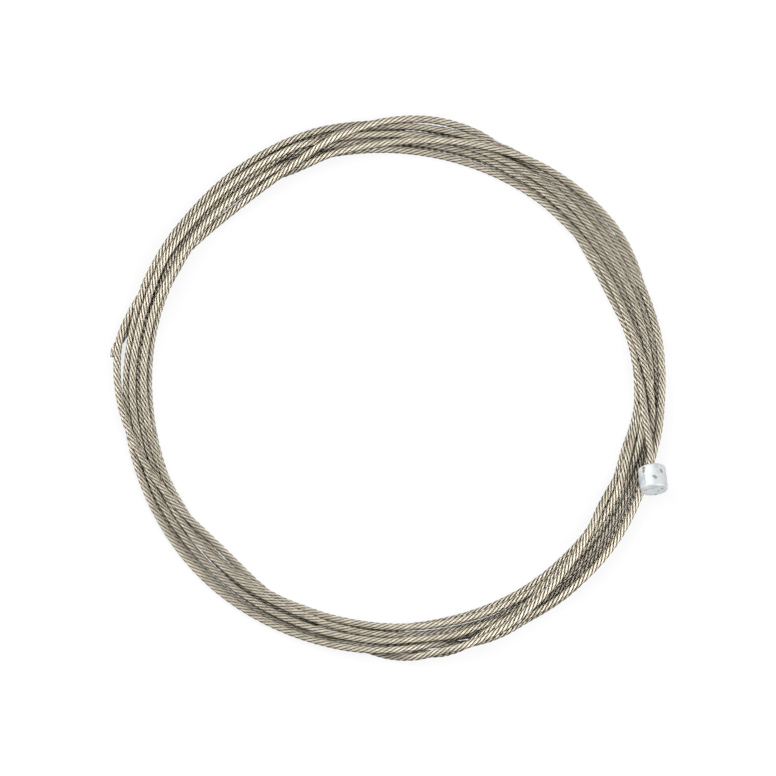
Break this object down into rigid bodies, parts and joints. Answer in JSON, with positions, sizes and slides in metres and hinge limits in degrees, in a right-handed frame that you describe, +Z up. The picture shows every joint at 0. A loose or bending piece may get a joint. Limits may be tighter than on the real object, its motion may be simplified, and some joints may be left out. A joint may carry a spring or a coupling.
{
  "type": "shift cable",
  "caption": "Stranded steel bicycle shift inner cable, wound into a flat coil, with a small cast barrel head on one end and a bare cut tip on the other.",
  "frame": {"origin": "centre of the bounding box in X and Y, on the surface the coil lies on", "axes": "+Z up, through the coil; +X towards the side where the head lies; the cable runs counter-clockwise from the head, seen from above"},
  "size_m": [0.0844, 0.0836, 0.0086],
  "materials": {
    "steel_strand": "satin",
    "cast_zinc": "satin"
  },
  "bodies": {
    "root": {"cable": "steel_strand", "head": "cast_zinc"}
  },
  "joints": []
}
